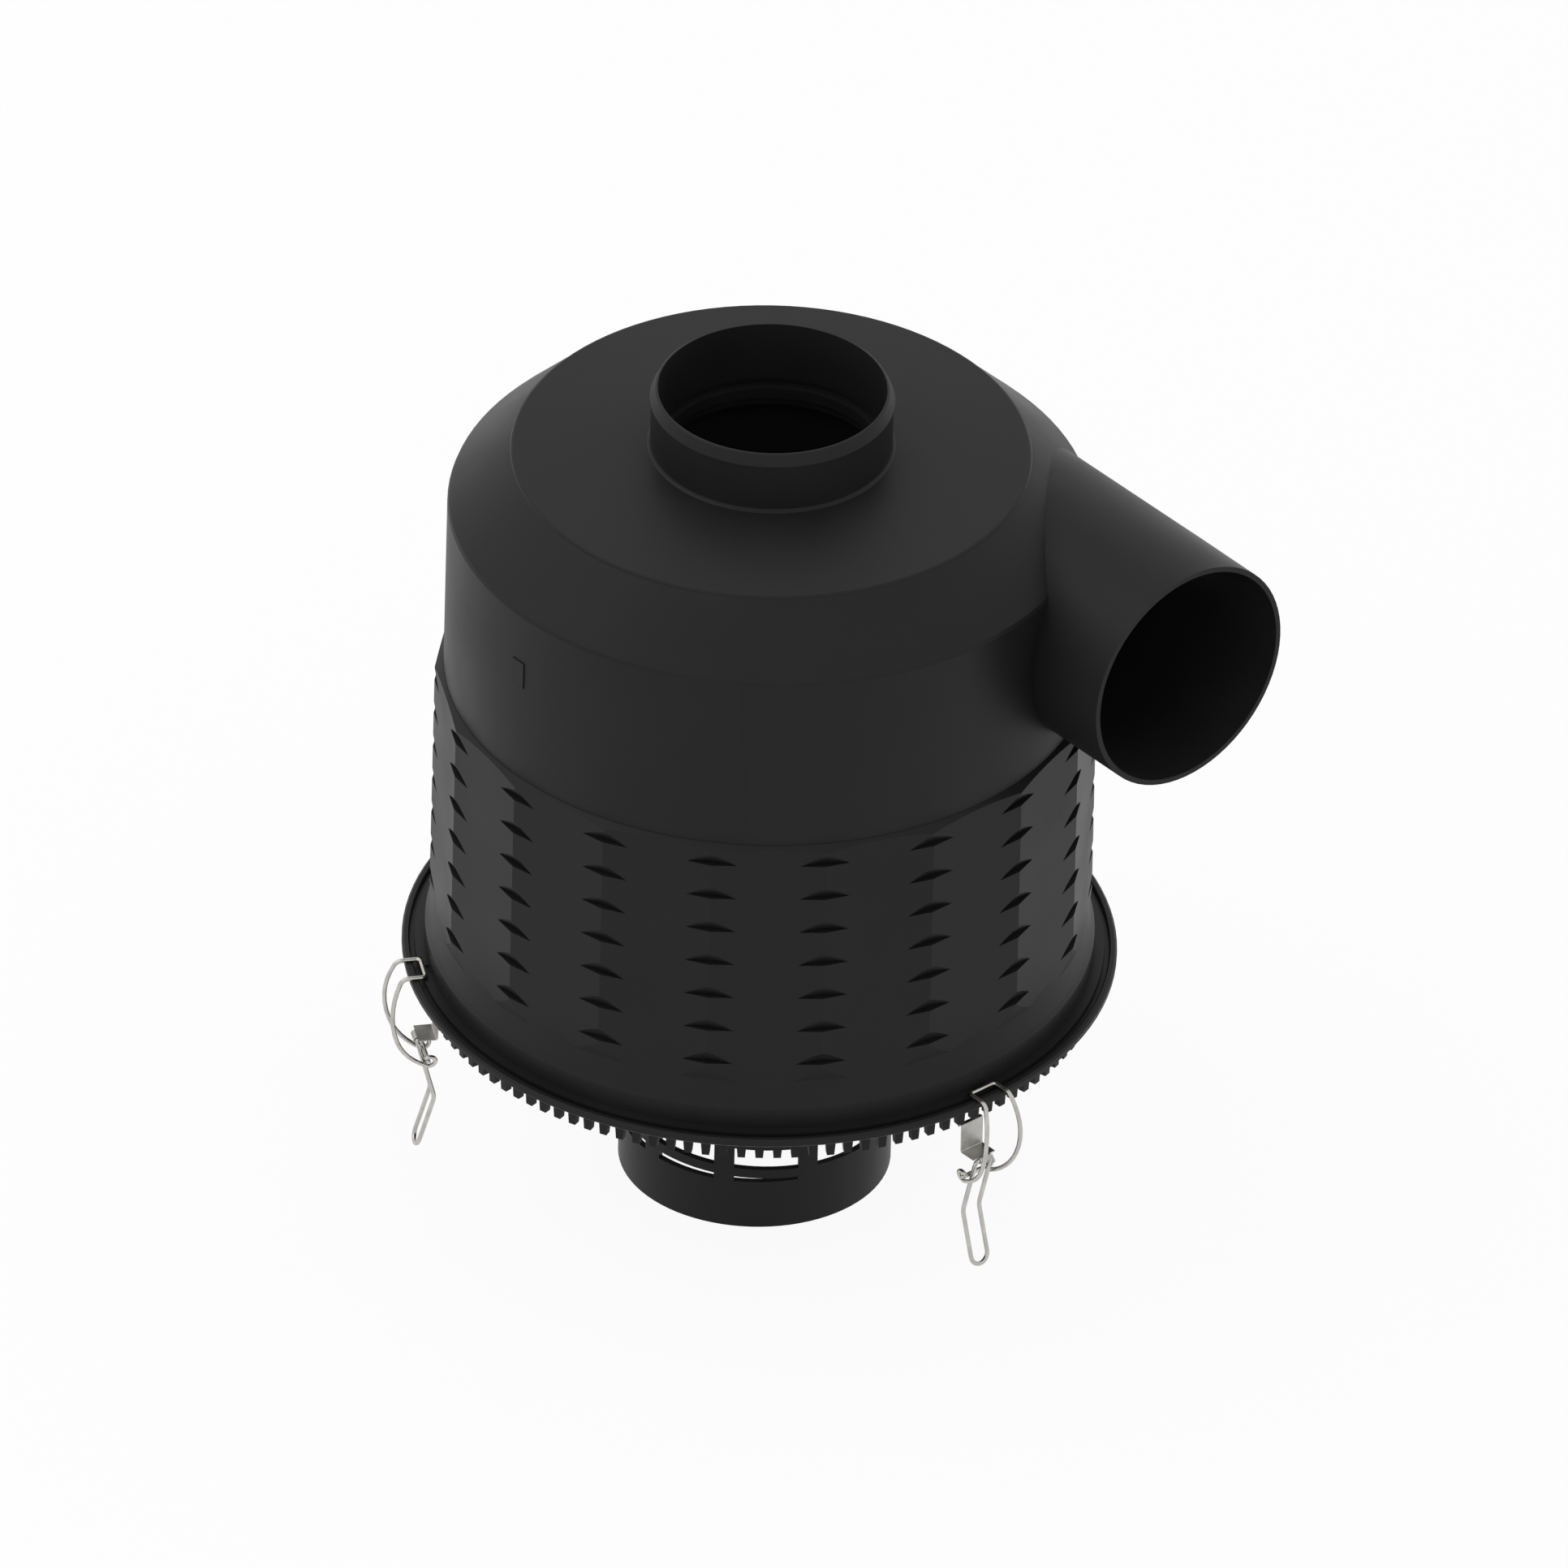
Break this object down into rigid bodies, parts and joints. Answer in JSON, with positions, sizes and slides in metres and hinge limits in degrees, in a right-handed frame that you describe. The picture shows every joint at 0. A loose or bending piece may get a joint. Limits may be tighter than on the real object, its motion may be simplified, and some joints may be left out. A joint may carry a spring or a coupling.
{
  "type": "air cleaner housing",
  "caption": "Upright drum-shaped air cleaner housing with a stepped cone top, central outlet neck, tangential round inlet, notched band, windowed inner tube and wire toggle clips.",
  "frame": {"origin": "drum axis, level with the top of the flange rim around the service opening", "axes": "+Z along the drum axis towards the outlet neck, +X along the inlet neck towards its mouth"},
  "size_m": [0.4113, 0.3828, 0.4924],
  "materials": {
    "black_moulding": "satin",
    "zinc_steel": "bright zinc plate"
  },
  "bodies": {
    "housing": {"housing_shell": "black_moulding", "support_tube": "black_moulding"},
    "bail_1_body": {"bail_1": "zinc_steel"},
    "lever_1_body": {"lever_1": "zinc_steel"},
    "claw_1_body": {"claw_1": "zinc_steel"},
    "bail_2_body": {"bail_2": "zinc_steel"},
    "lever_2_body": {"lever_2": "zinc_steel"},
    "claw_2_body": {"claw_2": "zinc_steel"},
    "bail_3_body": {"bail_3": "zinc_steel"},
    "lever_3_body": {"lever_3": "zinc_steel"},
    "claw_3_body": {"claw_3": "zinc_steel"}
  },
  "joints": [
    {"name": "bail_1_swing", "type": "hinge", "parent": "housing", "child": "bail_1_body", "pos_m": [0.1832, 0, 0.00075], "axis": [0, -1, 0], "range_deg": [0, 70]},
    {"name": "lever_1_swing", "type": "hinge", "parent": "bail_1_body", "child": "lever_1_body", "pos_m": [0.18079, 0, -0.05337], "axis": [0, -1, 0], "range_deg": [0, 150]},
    {"name": "claw_1_swing", "type": "hinge", "parent": "lever_1_body", "child": "claw_1_body", "pos_m": [0.1861, 0, -0.04289], "axis": [0, -1, 0], "range_deg": [-60, 20]},
    {"name": "bail_2_swing", "type": "hinge", "parent": "housing", "child": "bail_2_body", "pos_m": [-0.0916, -0.15866, 0.00075], "axis": [-0.866, 0.5, 0], "range_deg": [0, 70]},
    {"name": "lever_2_swing", "type": "hinge", "parent": "bail_2_body", "child": "lever_2_body", "pos_m": [-0.0904, -0.15657, -0.05337], "axis": [-0.866, 0.5, 0], "range_deg": [0, 150]},
    {"name": "claw_2_swing", "type": "hinge", "parent": "lever_2_body", "child": "claw_2_body", "pos_m": [-0.09305, -0.16117, -0.04289], "axis": [-0.866, 0.5, 0], "range_deg": [-60, 20]},
    {"name": "bail_3_swing", "type": "hinge", "parent": "housing", "child": "bail_3_body", "pos_m": [-0.0916, 0.15866, 0.00075], "axis": [0.866, 0.5, 0], "range_deg": [0, 70]},
    {"name": "lever_3_swing", "type": "hinge", "parent": "bail_3_body", "child": "lever_3_body", "pos_m": [-0.0904, 0.15657, -0.05337], "axis": [0.866, 0.5, 0], "range_deg": [0, 150]},
    {"name": "claw_3_swing", "type": "hinge", "parent": "lever_3_body", "child": "claw_3_body", "pos_m": [-0.09305, 0.16117, -0.04289], "axis": [0.866, 0.5, 0], "range_deg": [-60, 20]}
  ]
}
